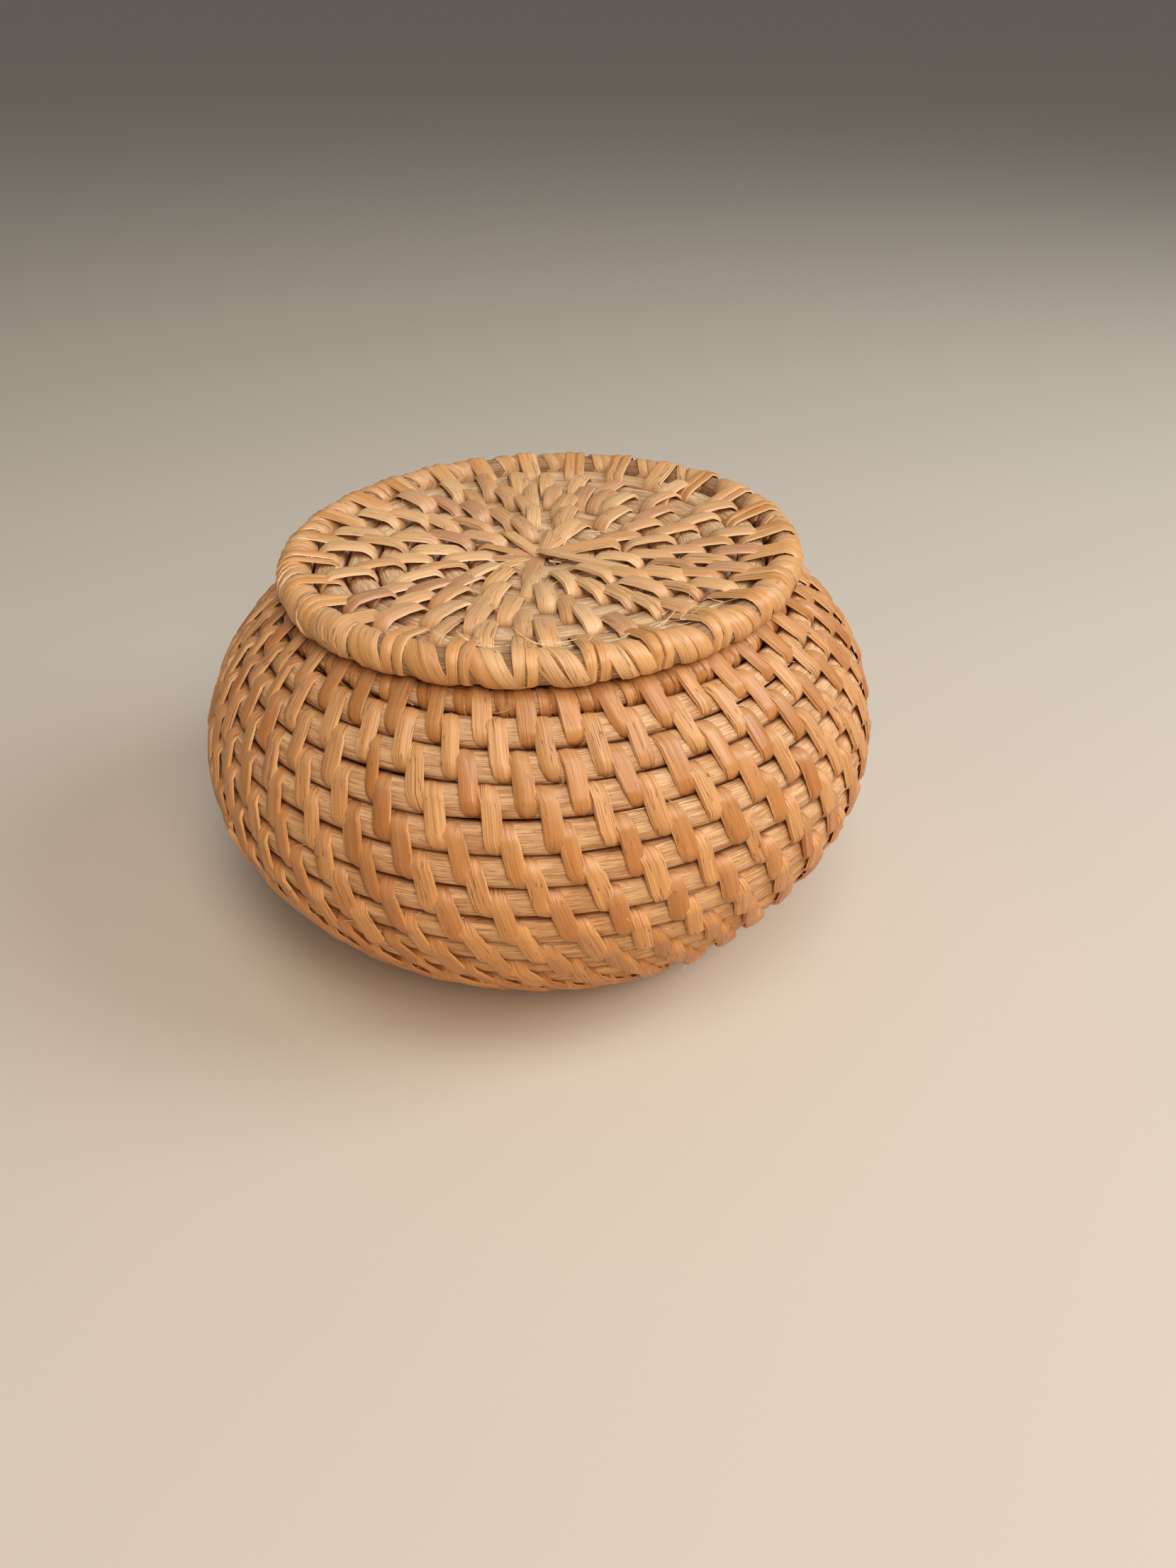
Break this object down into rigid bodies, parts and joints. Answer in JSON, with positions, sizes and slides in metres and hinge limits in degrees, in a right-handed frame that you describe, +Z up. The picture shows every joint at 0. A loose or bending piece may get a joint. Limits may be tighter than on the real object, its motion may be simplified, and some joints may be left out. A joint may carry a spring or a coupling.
{
  "type": "lidded rattan basket",
  "caption": "Round squat basket coiled from rattan core, with a flat lift-off lid whose locating hoop drops into the mouth.",
  "frame": {"origin": "middle of the face that the foot coil stands on", "axes": "+Z up, along the lid's lift; -Y towards the side that faces the viewer"},
  "size_m": [0.197, 0.1971, 0.117],
  "materials": {
    "core_rattan": "matte",
    "split_cane": "satin"
  },
  "bodies": {
    "basket": {"base_centre_knot": "split_cane", "base_core_rod": "core_rattan", "wall_core_rod_1": "core_rattan", "wall_core_rod_2": "core_rattan", "wall_core_rod_3": "core_rattan", "mouth_rim_rod": "core_rattan", "mouth_rim_lashing": "split_cane"},
    "lid": {"lid_centre_knot": "split_cane", "lid_core_rod": "core_rattan", "lid_rim_hoop": "core_rattan", "lid_rim_lashing": "split_cane", "lid_locating_hoop": "core_rattan"}
  },
  "joints": [
    {"name": "lid_lift", "type": "slide", "parent": "basket", "child": "lid", "axis": [0, 0, 1], "range_m": [0, 0.1]}
  ]
}
